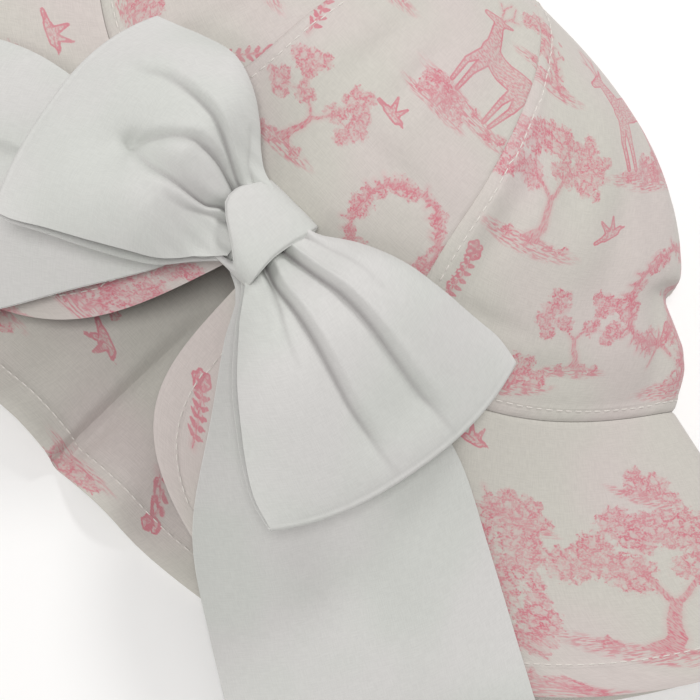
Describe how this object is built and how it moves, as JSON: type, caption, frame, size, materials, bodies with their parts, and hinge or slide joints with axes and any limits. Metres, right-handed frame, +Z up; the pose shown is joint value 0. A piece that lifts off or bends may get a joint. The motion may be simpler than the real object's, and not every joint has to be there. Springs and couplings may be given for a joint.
{
  "type": "baby sun hat",
  "caption": "Soft sun hat with a panelled crown, a wide flared brim split at the back and a large sash bow, lying on its front.",
  "frame": {"origin": "on the table, in the middle of the flat that the crown rests on", "axes": "+Y from the split in the brim towards the top of the crown, +X to the right as the bow is seen, +Z up"},
  "size_m": [0.357, 0.2293, 0.0725],
  "materials": {
    "printed_cotton": "matt woven cotton, cream with a rose print",
    "white_cotton": "matt woven cotton, white"
  },
  "bodies": {
    "root": {"crown_panel_back": "printed_cotton", "crown_panel_back_right": "printed_cotton", "crown_panel_back_left": "printed_cotton", "crown_panel_front_right": "printed_cotton", "crown_panel_front_left": "printed_cotton", "crown_panel_front": "printed_cotton", "brim": "printed_cotton", "tail_right": "white_cotton", "tail_left": "white_cotton", "bow_loop_right": "white_cotton", "bow_loop_left": "white_cotton", "bow_knot": "white_cotton"}
  },
  "joints": []
}
